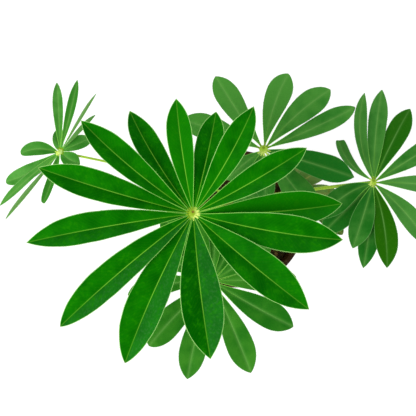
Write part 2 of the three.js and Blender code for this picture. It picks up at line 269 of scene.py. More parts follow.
def bell(values, width):
    """The bell curve exp(-(v / width)^2)."""
    return np.exp(-((values / width) ** 2))


def circles(radius, height, angle):
    """Points on level circles round +Z, [r cos a, r sin a, h], for columns of radii and heights."""
    x, y = radius * np.cos(angle), radius * np.sin(angle)
    return np.stack([x, y, height + 0 * x], -1)


def turned_about(vectors, axes, angle):
    """Vectors turned by an angle about unit axes that stand square to them: v cos + (k x v) sin."""
    return vectors * math.cos(angle) + np.cross(axes, vectors) * math.sin(angle)


def soft_step(low, high, values):
    """0 under low, 1 over high, and a smooth S between, x x (3 - 2 x)."""
    x = np.clip((values - low) / (high - low), 0, 1)
    return x * x * (3 - 2 * x)


def crumbled(x, y, cell, seed):
    """Smooth noise from -1 to 1: random heights on a square lattice of that cell, blended
    between the four corners round a point with an S-shaped weight."""
    repeat = 64
    heights = np.random.default_rng(seed).uniform(-1, 1, (repeat, repeat))
    across, down = x / cell, y / cell
    column, row = np.floor(across).astype(int), np.floor(down).astype(int)
    u, v = soft_step(0, 1, across - column), soft_step(0, 1, down - row)

    def corner(i, j):
        return heights[(column + i) % repeat, (row + j) % repeat]

    low = corner(0, 0) * (1 - u) + corner(1, 0) * u
    high = corner(0, 1) * (1 - u) + corner(1, 1) * u
    return low * (1 - v) + high * v


# ---- leaf shapes ------------------------------------------------------------------------------


def leaflet_facts(leaf, leaflet):
    """A leaflet's values by name, with its angles in radians: the leaf's own values, the
    leaflet's changes to them, and its row."""
    *row, change = leaflet if isinstance(leaflet[-1], dict) else (*leaflet, {})
    facts = {name: leaf[name] for name in ("fold", "widest", "slim", "point", "arch")}
    facts |= change | dict(zip(LEAFLET_ROW, row))
    return facts | {name: math.radians(facts[name]) for name in ("turn", "fold", "roll")}


def midrib(facts, s):
    """The midrib's line and its frame at s, from 0 in the hub to 1 at the tip, in the leaflet's
    own axes, with +X outwards. Bow and arch are parabolas 4 s (1 - s) beside and above a straight
    line. The side is level and square to the line, then rolled about it."""
    length, belly, slope = facts["reach"] - IN_HUB, 4 * s * (1 - s), 4 * (1 - 2 * s)
    line = np.stack([IN_HUB + length * s, facts["bow"] * belly,
                     facts["lift"] * s + facts["arch"] * belly], -1)
    along = unit(np.stack([np.full_like(s, length), facts["bow"] * slope,
                           facts["lift"] + facts["arch"] * slope], -1))
    side = turned_about(unit(np.cross(UP, along)), along, facts["roll"])
    return line, side, np.cross(along, side)


def half_width(facts, s):
    """Half the width by the share of the reach, counted from the hub's centre: a quarter of a
    sine wave up to the broadest place, then (1 - q^2.2)^point with q from 0 there to 1 at the
    tip, and no thinner than the little stalk until near the tip."""
    widest, share = facts["widest"], s + (1 - s) * IN_HUB / facts["reach"]
    rise = np.sin(math.pi / 2 * np.minimum(share / widest, 1) ** facts["slim"])
    fall = (1 - (np.maximum(share - widest, 0) / (1 - widest)) ** SHOULDER) ** facts["point"]
    return np.maximum(facts["width"] / 2 * rise * fall, STALK_HALF * np.minimum(1, 8 * (1 - share)))


def placed(leaf, facts, points):
    """Points in the leaflet's own axes, turned about +Z and moved to the hub."""
    x, y, z = np.moveaxis(points, -1, 0)
    return np.stack([*swung(x, y, facts["turn"]), z], -1) + np.array(leaf["hub"])


def folded_blade(line, side, normal, half, fold, thickness, groove, keel, waves=0.0, billow=0.0):
    """Rings round a thin blade folded along its midrib, and how far across each point is.
    Across x from the midrib, the upper face rises by root(x x + 0.16) - 0.4 times the sine of
    the fold, less a groove that is a bell 0.4 wide on the midrib, plus waves t^3 high along the
    margin and a billow t (1 - t) between midrib and margin, t being the share of the half width.
    The under face lies a thickness below, which thins to nothing at the margin as
    root(1 - t^10), with a keel that is a bell 0.55 wide."""
    across = np.concatenate([-HALF_ACROSS[:0:-1], HALF_ACROSS])
    t = np.concatenate([across, across[-2:0:-1]])
    under = np.zeros(len(t))
    under[len(across):] = 1
    x = half[:, None] * t
    rise = np.sqrt(x * x + 0.16) - 0.4
    height = rise * math.sin(fold) + waves * np.abs(t) ** 3
    height += billow * half[:, None] * np.abs(t) * (1 - np.abs(t))
    height -= groove[:, None] * bell(x, 0.4) * (1 - under) + keel[:, None] * bell(x, 0.55) * under
    height -= thickness * np.sqrt(1 - np.abs(t) ** 10) * under
    rings = line[:, None] + side[:, None] * (x * math.cos(fold))[..., None]
    return rings + normal[:, None] * height[..., None], x, np.broadcast_to(under, x.shape)


def in_leaflet(facts, direction):
    """A level direction as it lies in the leaflet's own axes."""
    return np.array([*swung(*direction, -facts["turn"]), 0.0])


def half_lean(facts, side, x, towards):
    """How far the fold leans each half of a blade along a direction: minus the half's own side
    times sin(fold), blended from half to half within HALF_BLEND of the midrib."""
    hand = np.clip(x / HALF_BLEND, -1, 1)
    return -(side @ towards)[:, None] * hand * math.sin(facts["fold"])


def half_tones_with_painted_light(facts, side, normal, x):
    """The tone of each half of a blade, with painted light and shade: its own tone, and more
    (painted light) where that half's upper face leans to the light, less (painted shade) where it
    leans away. The lean is how far the half's normal, n cos(fold) - m sin(fold) with m the side
    on that half, points along LIGHT_FROM."""
    towards = in_leaflet(facts, LIGHT_FROM)
    level = (normal @ towards)[:, None] * math.cos(facts["fold"])
    return facts["tone"] + PAINTED_LIGHT_BY_LEAN * (level + half_lean(facts, side, x, towards))


def half_painted_sheen(facts, side, x):
    """How much painted cool sheen, a painted reflection, each half of a blade gets, from 0 to 1:
    by how far it leans to SHEEN_FROM, and most on leaflets that point to -Y, by 0.6 - 0.4 sin(turn)."""
    lean = half_lean(facts, side, x, in_leaflet(facts, SHEEN_FROM))
    return np.clip(SHEEN_BY_LEAN * lean * (0.6 - 0.4 * math.sin(facts["turn"])), 0, 1)


def add_leaflet(work, leaf, leaflet, number):
    """One leaflet with its marks: blade holds along, across and the way to the margin in
    millimetres, and state holds s, tone with painted light and shade by each half's lean, and
    face, which is 1 below and minus the painted cool sheen above.
    Rings crowd to the tip by 1.5 u - 0.5 u u. The margin waves by a share of the half width, with
    two sines of the way along over WAVE_LENGTHS. Groove and keel fade to the tip and where the
    blade is narrow."""
    facts = leaflet_facts(leaf, leaflet)
    u = np.linspace(0, 1, leaf["stations"])
    s = FOOT_SHARE + (0.5 * u + 0.5 * (1 - (1 - u) ** 2)) * (1 - 1e-5 - FOOT_SHARE)
    line, side, normal = midrib(facts, s)
    half = half_width(facts, s)
    along, phase = (s * facts["reach"])[:, None], 2.4 * number
    long, short = WAVE_LENGTHS
    ripple = np.sin(along / long + phase) + 0.6 * np.sin(along / short + 2 * phase)
    groove = GROOVE_DEPTH * (1 - 0.6 * s) * soft_step(0, 1.6, half)
    keel = KEEL_DEPTH * (1 - 0.8 * s) * soft_step(0, 2, half)
    rings, x, under = folded_blade(line, side, normal, half, facts["fold"], BLADE_THICKNESS,
                                   groove, keel, WAVE_SHARE * half[:, None] * ripple, BLADE_BILLOW)
    face = under - half_painted_sheen(facts, side, x) * (1 - under)
    work.skin(placed(leaf, facts, rings), blade=(along, x, half[:, None] - np.abs(x)),
              state=(s[:, None], half_tones_with_painted_light(facts, side, normal, x), face))
    add_down(work, leaf, facts, s, rings, number)


def add_down(work, leaf, facts, s, rings, number):
    """The silky fringe on a blade's two margins: three-sided cones, closed at the foot. A hair
    starts at a random place on the margin and points along outward + 0.7 forward, plus a random
    step of 0.3 in each direction. They carry the marks of the margin."""
    seed = 1000 * number + int(10 * facts["reach"])
    random = np.random.default_rng(seed)
    count, last = int(facts["reach"] / DOWN_GAP), 2 * len(HALF_ACROSS) - 2
    angle = around(3)[:, None]
    corners = np.array([[0, 2, 1], [0, 1, 3], [1, 2, 3], [2, 0, 3]])
    faces = (4 * np.arange(count)[:, None, None] + corners).reshape(-1, 3)

    def on_blade(at, column):
        return np.stack([np.interp(at, s, rings[:, column, axis]) for axis in range(3)], -1)

    for edge, inner in ((0, 1), (last, last - 1)):
        at = random.uniform(0.06, 0.985, count)
        foot = on_blade(at, edge)
        lean = unit(foot - on_blade(at, inner)) + 0.7 * unit(on_blade(at + 0.01, edge) - foot)
        lean = unit(lean + random.normal(0, 0.3, foot.shape))
        first = unit(np.cross(lean, UP))
        second = np.cross(lean, first)
        base = DOWN_RADIUS * (first[:, None] * np.cos(angle) + second[:, None] * np.sin(angle))
        tip = foot + lean * random.uniform(*DOWN_LENGTHS, count)[:, None]
        points = np.concatenate([foot[:, None] + base, tip[:, None]], axis=1).reshape(-1, 3)
        blade = np.stack([at * facts["reach"], half_width(facts, at), 0 * at], -1)
        state = np.stack([at, facts["tone"] + 0 * at, 0 * at], -1)
        work.add(placed(leaf, facts, points), [faces], blade=np.repeat(blade, 4, axis=0),
                 state=np.repeat(state, 4, axis=0))


def swept(path, across, radii, sides, shape):
    """Rings round a path: the side is the given level direction made square to the path, and
    a ring's radius at angle a is its own radius times shape(a)."""
    along = unit(np.gradient(path, axis=0))
    first = unit(across - (along @ across)[:, None] * along)
    second = np.cross(along, first)
    angle = around(sides)
    radius = radii[:, None] * shape(angle)
    ring = first[:, None] * np.cos(angle)[:, None] - second[:, None] * np.sin(angle)[:, None]
    return path[:, None] + ring * radius[..., None]


def stalk_path(leaf, u):
    """The cubic curve from the crown's axis to just under the hub."""
    top = np.array(leaf["hub"]) - UP * 0.4 * HUB_HEIGHT
    a, b, c, d = np.array([(CROWN_X, CROWN_Y, leaf["seat"]), *leaf["stalk"], top])
    u = u[:, None]
    return (1 - u) ** 3 * a + 3 * (1 - u) ** 2 * u * b + 3 * (1 - u) * u * u * c + u**3 * d


def stalk_section(angle):
    """Five shallow ridges, 0.03 cos(5 a), and a groove on the top, a bell 0.35 wide."""
    return 1 + 0.03 * np.cos(5 * angle) - 0.1 * bell(angle - 1.5 * math.pi, 0.35)


def add_stalk(work, leaf):
    """The stalk: its curve, with a radius that swells by a bell to a clasping base and by a
    small one under the hub."""
    u = np.linspace(0, 1, 72)
    path = stalk_path(leaf, u)
    run = np.concatenate([[0], np.cumsum(np.linalg.norm(np.diff(path, axis=0), axis=1))])
    radius = leaf["stalk_radius"]
    radii = radius * (0.94 + 0.1 * bell(run[-1] - run, 5))
    radii += (CLASP_RADIUS - radius) * bell(run, CLASP_LENGTH)
    away = np.array(leaf["hub"]) - CROWN_AXIS
    across = unit(np.array([-away[1], away[0], 0.0]))
    rings = swept(path, across, radii, sides=20, shape=stalk_section)
    work.skin(rings, state=(u[:, None], run[:, None], 0))


def painted_highlight_share(leaf, angle):
    """How much painted highlight a place on the hub's rim gets, by how far it faces the turn of the
    painted highlight: a raised cosine.
    """
    return 0.5 + 0.5 * np.cos(angle - math.radians(leaf["glow"]))


def add_hub(work, leaf):
    """The knob where the leaflets meet: a flat round body whose radius grows by BUMP_SHARE in a
    bell 0.13 radians wide at each leaflet, with a dimple, a bell too, in its top, a little off
    the middle."""
    turns = np.radians([leaflet[0] for leaflet in leaf["leaflets"]])
    angle = around(72)
    off = np.angle(np.exp(1j * (angle[:, None] - turns)))
    bumps = bell(off, 0.13).sum(axis=1)
    level = np.linspace(0.04, 0.97, 15)[:, None] * math.pi
    ring = np.sin(level)
    wide = KNOB_SHARE * HUB_RADIUS * leaf["knob"] * ring * (1 + BUMP_SHARE * bumps * ring**3)
    high = 0.5 * HUB_HEIGHT * np.cos(level) * (1 + 0.1 * bumps * ring)
    rings = circles(wide, high, angle)
    out = np.hypot(rings[..., 0], rings[..., 1] - 0.3 * HUB_RADIUS)
    dimple = bell(out, DIMPLE_WIDTH) * (np.cos(level) > 0)
    rings[..., 2] -= DIMPLE_DEPTH * dimple
    # the hub's second mark is its painted highlight, strongest on the rim towards the highlight's turn
    work.skin(rings + np.array(leaf["hub"]), state=(dimple, ring * painted_highlight_share(leaf, angle), 1))


def add_pulvini(work, leaf):
    """A swollen foot to each leaflet: rings round its midrib over PULVINUS_SPAN, less on a small
    hub, with a radius like the half circle root(1 - q q) raised to 0.8."""
    out = np.linspace(*PULVINUS_SPAN, 12) * leaf["knob"]
    q = np.linspace(-0.985, 0.985, 12)
    radius = (PULVINUS_RADIUS * leaf["knob"] ** 0.5 * (1 - q * q) ** 0.4)[:, None, None]
    angle = around(12)[:, None]
    for leaflet in leaf["leaflets"]:
        facts = leaflet_facts(leaf, leaflet)
        frames = midrib(facts, (out - IN_HUB) / (facts["reach"] - IN_HUB))
        line, side, normal = (part[:, None] for part in frames)
        rings = line + (side * np.cos(angle) * 0.92 - normal * np.sin(angle)) * radius - normal * 0.1
        # how much painted highlight this leaflet's swollen foot gets
        bright = painted_highlight_share(leaf, facts["turn"])
        work.skin(placed(leaf, facts, rings), state=(1, bright, 2))


# ---- finishes -----------------------------------------------------------------------------------


def both_ways(operation):
    """An operator's two methods, for a wire on its left and for one on its right."""
    return (lambda wire, other: wire.math(operation, wire, other),
            lambda wire, other: wire.math(operation, other, wire))


class Wire:
    """A number that nodes work out. Python's operators on it add Math nodes."""

    def __init__(self, finish, node, output=0):
        self.finish, self.node, self.socket = finish, node, node.outputs[output]

    def __getitem__(self, output):
        return Wire(self.finish, self.node, output)

    def math(self, operation, *values):
        return self.finish.node("ShaderNodeMath", {"operation": operation}, dict(enumerate(values)))

    __add__, __radd__ = both_ways("ADD")
    __sub__, __rsub__ = both_ways("SUBTRACT")
    __mul__, __rmul__ = both_ways("MULTIPLY")
    __truediv__, __rtruediv__ = both_ways("DIVIDE")

    def __abs__(self):
        return self.math("ABSOLUTE", self)


class Finish:
    """A node material round one Principled shader. Constants are set on the shader itself."""

    def __init__(self, name, **constants):
        self.material = bpy.data.materials.new(name)
        self.material.use_nodes = True
        self.tree = self.material.node_tree
        self.shader = self.tree.nodes["Principled BSDF"]
        self.give(**constants)

    def node(self, kind, settings, sockets):
        """Any node: its settings first, then the value or the link of each socket."""
        node = self.tree.nodes.new(kind)
        for name, value in settings.items():
            setattr(node, name, value)
        for name, value in sockets.items():
            self.feed(node.inputs[name], value)
        return Wire(self, node)

    def feed(self, socket, value):
        """Links a wire to a socket, or sets the socket to a plain value."""
        if isinstance(value, Wire):
            self.tree.links.new(value.socket, socket)
        else:
            socket.default_value = value

    def place(self):
        return self.node("ShaderNodeTexCoord", {}, {})["Object"]

    def mark(self, name):
        """The three numbers of a mark that the mesh carries."""
        vector = self.node("ShaderNodeAttribute", {"attribute_name": name}, {})["Vector"]
        parts = self.node("ShaderNodeSeparateXYZ", {}, {0: vector})
        return parts["X"], parts["Y"], parts["Z"]

    def noise(self, scale, detail, rough, at=None):
        sockets = {"Vector": at or self.place(), "Scale": scale, "Detail": detail, "Roughness": rough}
        return self.node("ShaderNodeTexNoise", {}, sockets)["Fac"]

    def step(self, value, low, high, start=0.0, end=1.0):
        """A smooth step of value from start at low to end at high."""
        sockets = {"Value": value, "From Min": low, "From Max": high, "To Min": start, "To Max": end}
        return self.node("ShaderNodeMapRange", {"interpolation_type": "SMOOTHSTEP"}, sockets)

    def blend(self, share, first, second):
        """The first colour where share is 0 and the second where it is 1. A Mix node takes its
        colours at inputs 6 and 7 and gives the blend at output 2."""
        mix = self.node("ShaderNodeMix", {"data_type": "RGBA"}, {0: share, 6: first, 7: second})
        return mix[2]

    def coated(self, base, *coats):
        """A colour with coats laid over it in turn, each a share from 0 to 1 and its colour."""
        for share, colour in coats:
            base = self.blend(share, base, colour)
        return base

    def bump(self, height, distance, strength):
        sockets = {"Height": height, "Distance": distance, "Strength": strength}
        return self.node("ShaderNodeBump", {}, sockets)

    def give(self, **sockets):
        """Sets or links the shader's sockets, such as specular_ior_level, and gives the material."""
        for name, value in sockets.items():
            self.feed(self.shader.inputs[name.replace("_", " ").title().replace("Ior", "IOR")], value)
        return self.material


def srgb(red, green, blue):
    """A screen colour of 0 to 255 as the linear colour that nodes take."""
    channels = np.array([red, green, blue]) / 255
    linear = np.where(channels <= 0.04045, channels / 12.92, ((channels + 0.055) / 1.055) ** 2.4)
    return (*(float(value) for value in linear), 1.0)


def with_alpha(colour):
    return (*colour, 1.0)


def tinted(colour, *shares):
    """A colour with its red, green and blue each times a share, and none above 1."""
    return with_alpha(min(1.0, channel * share) for channel, share in zip(colour, shares))


def painted_sheen_and_mottle(leaf, bright, face, patches, crisp):
    """The coats that a near leaf shows and a far one hardly does: a painted cool sheen, a painted
    reflection, speckled with painted highlights where fine down catches it, on the halves that lean
    to SHEEN_FROM, and bright mottling on some of the patches."""
    sheen = leaf.step(face * -1, 0.0, 1.0)
    # down: painted highlights of fine down, only where the painted sheen is
    down = leaf.step(leaf.noise(620, 2.0, 0.6), 0.48, 0.7) * sheen
    mottle = leaf.step(leaf.noise(430, 3.0, 0.6), 0.5, 0.66) * leaf.step(patches, 0.38, 0.58)
    return [(sheen * (0.35 * crisp), srgb(42, 116, 46)),
            (down * (0.12 * crisp), srgb(104, 168, 104)),
            (mottle * (0.05 + 0.57 * crisp), tinted(bright, 2.6, 1.15, 1.0))]


def side_veins(leaf, along, away, edge, wander):
    """Where the side veins run: forward from the midrib, one in each 2.7 mm, to near the margin."""
    course = (along - away * 1.35 + away * away * 0.028) / 2.7 + wander * 1.6
    vein = 1 - leaf.step(abs(course.math("FRACT", course) - 0.5), 0.02, 0.2)
    return vein * leaf.step(edge, 0.5, 2.2)


def blade_finish(name, deep, bright, rib, margin, under, spots=None, gloss=0.03, blur=1.0):
    """Leaf blade: patches of two greens between faint side veins, shifted by painted light and
    shade where a half leans to or from the light, a pale midrib and margin that turn yellow-green
    towards the hub, a yellow foot, a brown point and a paler under face. Blur is 0 for a near leaf,
    with a painted cool sheen, bright mottling and a crisp midrib, and 1 for a broad, faint midrib."""
    leaf = Finish(name, specular_ior_level=gloss)
    along, across, edge = leaf.mark("blade")
    s, tone, face = leaf.mark("state")
    away = abs(across)
    near_hub = 1 - leaf.step(s, 0.08, 0.5)
    patches, grain = leaf.noise(90, 3.0, 0.5), leaf.noise(1500, 2.0, 0.6)
    wander = leaf.noise(160, 1.0, 0.5)
    vein = side_veins(leaf, along, away, edge, wander)
    dusky = leaf.step(tone, -1.7, -1.1, 1.0, 0.0)
    green = leaf.coated(
        deep,
        # the tone here carries painted light and shade by each half's lean to LIGHT_FROM
        (leaf.step(patches + tone * 0.5, 0.15, 0.85), bright),
        (leaf.step(tone, 1.0, 3.0), under),
        (dusky, tinted(deep, 1.5, 0.86, 0.0)),
        *painted_sheen_and_mottle(leaf, bright, face, patches, 1 - blur),
        (vein * 0.014, rib),
        (leaf.step(grain, 0.3, 0.75) * 0.14, tinted(deep, 0.6, 0.6, 0.6)),
    )
    if spots:
        green = leaf.blend(leaf.step(leaf.noise(230, 4.0, 0.65), 0.58, 0.7) * 0.6, green, spots)

    halo = 1 - leaf.step(away, 0.2, 1.3 + 0.9 * blur)
    line = (1 - leaf.step(away, 0.1, 0.4 + 0.35 * blur)) * leaf.step(s, 0.3, 1.0, 0.92, 0.25)
    green = leaf.coated(
        green,
        (halo * (1 - dusky * 0.8) * (0.02 + 0.16 * blur), rib),
        (line * (1 - 0.45 * blur), leaf.blend(near_hub * 0.8, rib, srgb(92, 176, 26))),
    )
    top = leaf.coated(
        green,
        ((1 - leaf.step(edge, 0.12, 0.48)) * 0.9, leaf.blend(near_hub, margin, srgb(160, 240, 96))),
        ((1 - leaf.step(along, 0.2, 1.5)) * 0.8, srgb(130, 178, 30)),
        (leaf.step(s, 0.988, 0.998) * 0.6, srgb(92, 84, 30)),
    )
    below = leaf.coated(under, (leaf.step(patches, 0.3, 0.7) * 0.5, green), (line, rib))
    under_face = leaf.step(face, 0.2, 0.8)
    shine = 0.5 + (grain - 0.5) * 0.14 + under_face * 0.2
    relief = leaf.bump(grain * 0.5 - vein * 0.03 + wander * 0.3, 0.00005, 0.6)
    return leaf.give(base_color=leaf.blend(under_face, top, below), roughness=shine, normal=relief)


def stalk_finish(name, pale, green, blush, heart, knob, spread=1.0):
    """Stalks, hubs and leaflet feet: pale yellow-green with fine lengthwise streaks, greener
    towards the leaf, a blush at the foot, a hub with its own colour at the heart, painted glints,
    painted highlights, on the knob's bright side and swollen feet painted pale on that side.
    Spread is how far into the dimple the heart takes over."""
    stalk = Finish(name, roughness=0.5, specular_ior_level=0.35)
    share, second, part = stalk.mark("state")
    streaks, mottle = stalk.noise(700, 3.0, 0.6), stalk.noise(170, 2.0, 0.5)
    glint = stalk.noise(420, 2.0, 0.6)
    tube = stalk.coated(
        pale,
        (stalk.step(mottle, 0.35, 0.65) * 0.55, green),
        ((1 - stalk.step(second, 2.0, 16.0)) * 0.55, blush),
        (stalk.step(streaks, 0.5, 0.72) * 0.25, srgb(222, 232, 150)),
    )
    # the knob: painted highlight where glint noise and the painted highlight share are high
    disc = stalk.coated(
        knob,
        (stalk.step(glint + second * 1.25, 0.8, 1.5), srgb(230, 252, 122)),
        (stalk.step(share, 0.0, spread), heart),
    )
    # the swollen feet: olive, painted pale where the painted highlight falls
    painted_highlight = stalk.step(glint * 1.5 + second, 1.0, 1.7)
    foot = stalk.blend(painted_highlight, srgb(134, 176, 8), srgb(230, 252, 124))
    colour = stalk.coated(tube, (stalk.step(part, 0.4, 0.6), disc), (stalk.step(part, 1.4, 1.6), foot))
    relief = stalk.bump(streaks + mottle * 0.5, 0.00008, 0.6)
    return stalk.give(base_color=colour, roughness=0.5 + (streaks - 0.5) * 0.2, normal=relief)


def pot_finish(colour, sheen):
    """Moulded plastic: a dark brown with a faint flow pattern, fine scuffs, and dried soil
    dust that gathers on the rim and at the foot."""
    plastic = Finish("brown_nursery_plastic", specular_ior_level=0.18)
    place = plastic.place()
    height = plastic.node("ShaderNodeSeparateXYZ", {}, {0: place})["Z"]
    stretched = plastic.node("ShaderNodeMapping", {}, {"Vector": place, "Scale": (1, 1, 0.15)})
    flow = plastic.noise(60, 4.0, 0.6, at=stretched)
    scuffs = plastic.noise(420, 6.0, 0.7)
    dusty = plastic.step(height, 0.1, 0.1095) + (1 - plastic.step(height, 0.0, 0.018)) * 0.6
    dust = plastic.step(plastic.noise(240, 5.0, 0.65), 0.5, 0.68) * dusty
    body = plastic.coated(
        with_alpha(colour),
        (plastic.step(flow, 0.35, 0.7) * 0.35, tinted(colour, 2.1, 2.1, 2.1)),
        (plastic.step(scuffs, 0.62, 0.74) * 0.25, srgb(104, 74, 46)),
        (dust * 0.5, srgb(104, 80, 50)),
    )
    rough = sheen + (scuffs - 0.5) * 0.22 + dust * 0.3
    relief = plastic.bump(scuffs * 0.5 + flow, 0.00008, 0.5)
    return plastic.give(base_color=body, roughness=rough, normal=relief)


def soil_finish(name, dark, crumb, moist):
    """Potting soil: near-black peat and paler brown crumbs in cells, with a rough grain."""
    soil = Finish(name, specular_ior_level=0.2)
    grid = {"Vector": soil.place(), "Scale": 520}
    cells = soil.node("ShaderNodeTexVoronoi", {"feature": "F1"}, grid)
    tint = soil.node("ShaderNodeSeparateColor", {}, {0: cells["Color"]})["Red"]
    clods = soil.noise(300, 6.0, 0.7)
    colour = soil.coated(
        dark,
        (soil.step(clods + tint * 0.25, 0.5, 0.85), crumb),
        (soil.step(soil.noise(45, 2.0, 0.5), 0.35, 0.65) * moist, dark),
    )
    relief = soil.bump(clods - cells["Distance"] * 0.8, 0.0006, 0.9)
    return soil.give(base_color=colour, roughness=0.82 + (clods - 0.5) * 0.25, normal=relief)


# ---- settings -------------------------------------------------------------------------------------


def colour_setting(name, description, default):
    return FloatVectorProperty(name=name, description=description, default=default[:3],
                               size=3, subtype="COLOR", min=0, max=1)


def length_setting(name, description, default):
    return FloatProperty(name=name, description=description, default=default, min=0,
                         unit="LENGTH", subtype="DISTANCE")


class LupinPotSettings(bpy.types.PropertyGroup):
    """The nursery pot."""

    lip: length_setting("Lip", "Radius of the rolled edge at the top of the rim band", 0.0009)
    ring_relief: length_setting("Ring relief", "How far the moulded rings stand out", 0.00035)
    colour: colour_setting("Colour", "Colour of the plastic", srgb(50, 27, 7))
    sheen: FloatProperty(name="Roughness", description="How dull the plastic is",
                         default=0.42, min=0.05, max=1, subtype="FACTOR")


class LupinSoilSettings(bpy.types.PropertyGroup):
    """The potting soil and what lies on it."""

    crumbs: IntProperty(name="Crumbs", description="How many crumbs lie on the soil",
                        default=520, min=0)
    chips: IntProperty(name="Chips", description="How many bark chips lie on the soil",
                       default=130, min=0)
    crumb_size: length_setting("Crumb size", "Width of the largest crumbs", 0.0034)
    peat: colour_setting("Peat", "Colour of the damp peat", srgb(36, 26, 6))
    clod: colour_setting("Crumbs", "Colour of the drier crumbs", srgb(92, 71, 24))


class LupinLeafSettings(bpy.types.PropertyGroup):
    """The leaves and their stalks."""

    deep: colour_setting("Near leaf, deep", "Deep green of the near leaf", srgb(2, 98, 0))
    bright: colour_setting("Near leaf, bright", "Bright green of the near leaf", srgb(18, 132, 0))
    rib: colour_setting("Midrib", "Colour of the midribs and side veins", srgb(138, 218, 66))
    margin: colour_setting("Margin", "Colour of the downy margins", srgb(190, 252, 146))
    stalk: colour_setting("Stalk", "Colour of the stalks", srgb(168, 208, 34))


class LupinStageSettings(bpy.types.PropertyGroup):
    """The floor, lights and camera."""

    floor_width: length_setting("Floor width", "Width of the pale floor", 12.0)
    key_power: FloatProperty(name="Key light", description="Power of the large soft light",
                             default=15.0, min=0, unit="POWER")
    fill: FloatProperty(name="Fill", description="Strength of the light from all round",
                        default=0.5, min=0)


# ---- pot ----------------------------------------------------------------------------------------

FOOT_ROUND, BAND_ROUND, FLOOR_ROUND, BAND_GROOVE = 1.6, 1.2, 1.5, 0.25
RING_HEIGHTS, RING_WIDTH = (22, 26, 74, 78), 0.9


def pot_radius(height):
    """The tapered wall's outer radius, a straight line from the base to the neck."""
    return BASE_RADIUS + (NECK_RADIUS - BASE_RADIUS) * height / POT_HEIGHT


def arc(x, y, across, up, start, end, steps=7):
    """Points [x + across cos a, y + up sin a] on an arc, between two angles in degrees."""
    turn = np.radians(np.linspace(start, end, steps))
    return np.stack([x + across * np.cos(turn), y + up * np.sin(turn)], -1)


def pot_profile(lip, relief):
    """The wall's section as [radius, height] from the underside outwards, up the tapered outside
    with rings that are bells, up the rim band with its shallow groove, over the rolled lip and
    down the inside. Corners are arcs."""
    heights = np.linspace(2.4, POT_HEIGHT - BAND_DEPTH - 0.6, 90)
    rings = sum(bell(heights - at, RING_WIDTH) for at in RING_HEIGHTS)
    low, groove = POT_HEIGHT - BAND_DEPTH, RIM_RADIUS - BAND_GROOVE
    inner, floor = pot_radius(POT_HEIGHT) - WALL, FLOOR_DEPTH + FLOOR_ROUND
    inside = np.linspace(POT_HEIGHT - 4, floor, 24)
    return np.concatenate([
        arc(BASE_RADIUS - 2, FOOT_ROUND, FOOT_ROUND, FOOT_ROUND, -90, 0),
        np.stack([pot_radius(heights) + relief * rings, heights], -1),
        arc(RIM_RADIUS - BAND_ROUND, low + BAND_ROUND, BAND_ROUND, BAND_ROUND, -90, 0),
        [(RIM_RADIUS, low + 3), (groove, low + 3.5)],
        [(groove, POT_HEIGHT - 3.4), (RIM_RADIUS, POT_HEIGHT - 2.9)],
        arc((RIM_RADIUS + inner) / 2, POT_HEIGHT - lip, (RIM_RADIUS - inner) / 2, lip, 0, 180, 15),
        np.stack([pot_radius(inside) - WALL, inside], -1),
        arc(pot_radius(FLOOR_DEPTH) - WALL - FLOOR_ROUND, floor, FLOOR_ROUND, FLOOR_ROUND, 0, -90)[1:],
    ])


def pot_floor(sector_steps, radial_steps, inner, outer):
    """The floor between two radii with a round hole in each sixth of it. In a sector, the point
    at share b from the hole to the border is the straight blend of the hole's edge and the
    sector's border at the same angle round the hole. A sector's sheet is its under face, the
    wall of its hole and its upper face."""
    half = math.pi / DRAIN_HOLES
    sweep = np.linspace(-half, half, sector_steps + 1)
    radial = np.linspace(inner, outer, radial_steps + 1)
    border = np.concatenate([
        np.stack([outer * np.cos(sweep), outer * np.sin(sweep)], -1)[:-1],
        np.stack([radial * math.cos(half), radial * math.sin(half)], -1)[:0:-1],
        np.stack([inner * np.cos(sweep), inner * np.sin(sweep)], -1)[:0:-1],
        np.stack([radial * math.cos(half), -radial * math.sin(half)], -1)[:-1],
    ])
    centre = np.array([DRAIN_CIRCLE, 0])
    hole = centre + DRAIN_RADIUS * unit(border - centre)
    b = np.linspace(0, 1, 6)[:, None, None]
    flat = hole * (1 - b) + border * b
    under = np.concatenate([flat, np.zeros(flat.shape[:2] + (1,))], -1)
    upper = under[::-1] + UP * FLOOR_DEPTH
    wall = np.stack([upper[-1], under[0]])
    sheet = np.concatenate([under[::-1], wall[::-1][1:], upper[::-1][1:]])
    x, y, z = np.moveaxis(sheet, -1, 0)
    return [np.stack([*swung(x, y, turn + half), z], -1) for turn in around(DRAIN_HOLES)]


def welded(thing):
    """Merges points that lie together and turns the faces outwards."""
    work = bmesh.new()
    work.from_mesh(thing.data)
    bmesh.ops.remove_doubles(work, verts=work.verts, dist=0.02 * MM)
    bmesh.ops.recalc_face_normals(work, faces=work.faces)
    work.to_mesh(thing.data)
    work.free()


class BuildLupinPot(bpy.types.Operator):
    """Builds the pot: a turned wall with a rolled rim, and a floor with six drain holes"""

    bl_idname = "lupin.build_pot"
    bl_label = "Pot"

    def execute(self, context):
        settings = context.scene.lupin_pot
        sides, plain_middle = 192, 18.0
        profile = pot_profile(settings.lip / MM, settings.ring_relief / MM)
        outer = profile[0][0]
        profile = np.concatenate([profile, [[outer, FLOOR_DEPTH]]])
        angle = around(sides)
        work = Patchwork()
        work.sheet(circles(profile[:, :1], profile[:, 1:], angle))
        for sheet in pot_floor(sides // DRAIN_HOLES, 8, plain_middle, outer):
            work.sheet(sheet)
        middle = np.array([0.0, 0.5, 1.0])[:, None] * plain_middle
        for level in (0.0, FLOOR_DEPTH):
            work.sheet(circles(middle, level, angle))
        finish = pot_finish(settings.colour, settings.sheen)
        welded(work.piece("nursery_pot", finish, "pot_plastic", "pot"))
        return {"FINISHED"}


# ---- soil ---------------------------------------------------------------------------------------


